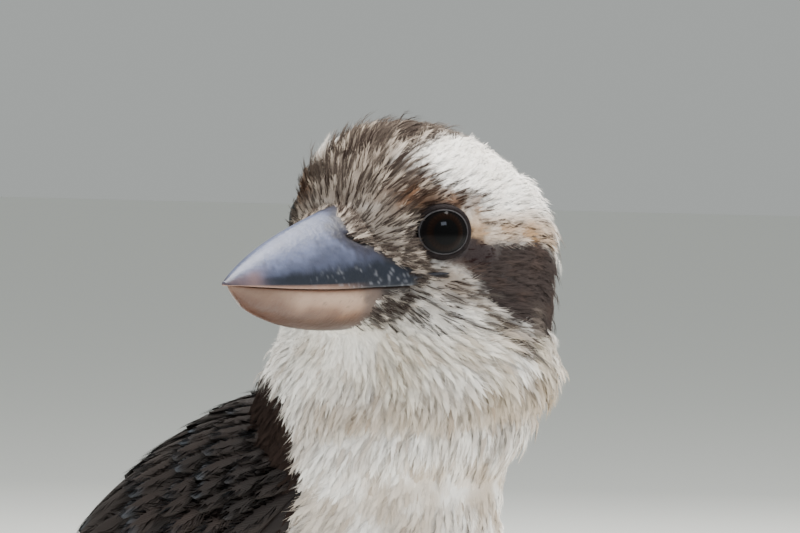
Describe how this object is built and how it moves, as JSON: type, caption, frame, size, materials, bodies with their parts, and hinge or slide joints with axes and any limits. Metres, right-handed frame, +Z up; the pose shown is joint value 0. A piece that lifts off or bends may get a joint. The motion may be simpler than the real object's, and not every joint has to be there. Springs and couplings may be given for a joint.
{
  "type": "laughing kookaburra",
  "caption": "Laughing kookaburra standing with folded wings, heavy two-toned bill, head turned over its right shoulder; a life-size still model.",
  "frame": {"origin": "on the floor under the middle of the whole bird's box", "axes": "+Z up; the breast faces -Y and the tail points to +Y; +X is the bird's left side"},
  "size_m": [0.1628, 0.2924, 0.2617],
  "materials": {
    "white_plumage": "matte feathers",
    "brown_plumage": "matte feathers",
    "rufous_plumage": "matte feathers",
    "upper_bill": "satin horn",
    "lower_bill": "satin horn",
    "eye": "wet gloss",
    "scales": "scaly skin",
    "claw": "satin horn"
  },
  "bodies": {
    "root": {"head": "white_plumage", "neck": "white_plumage", "torso": "white_plumage", "tail": "rufous_plumage", "bill_upper": "upper_bill", "bill_lower": "lower_bill", "eye_left": "eye", "wing_left": "brown_plumage", "thigh_left": "white_plumage", "foot_left": "scales", "claw_left_1": "claw", "claw_left_2": "claw", "claw_left_3": "claw", "claw_left_4": "claw", "eye_right": "eye", "wing_right": "brown_plumage", "thigh_right": "white_plumage", "foot_right": "scales", "claw_right_1": "claw", "claw_right_2": "claw", "claw_right_3": "claw", "claw_right_4": "claw"}
  },
  "joints": []
}
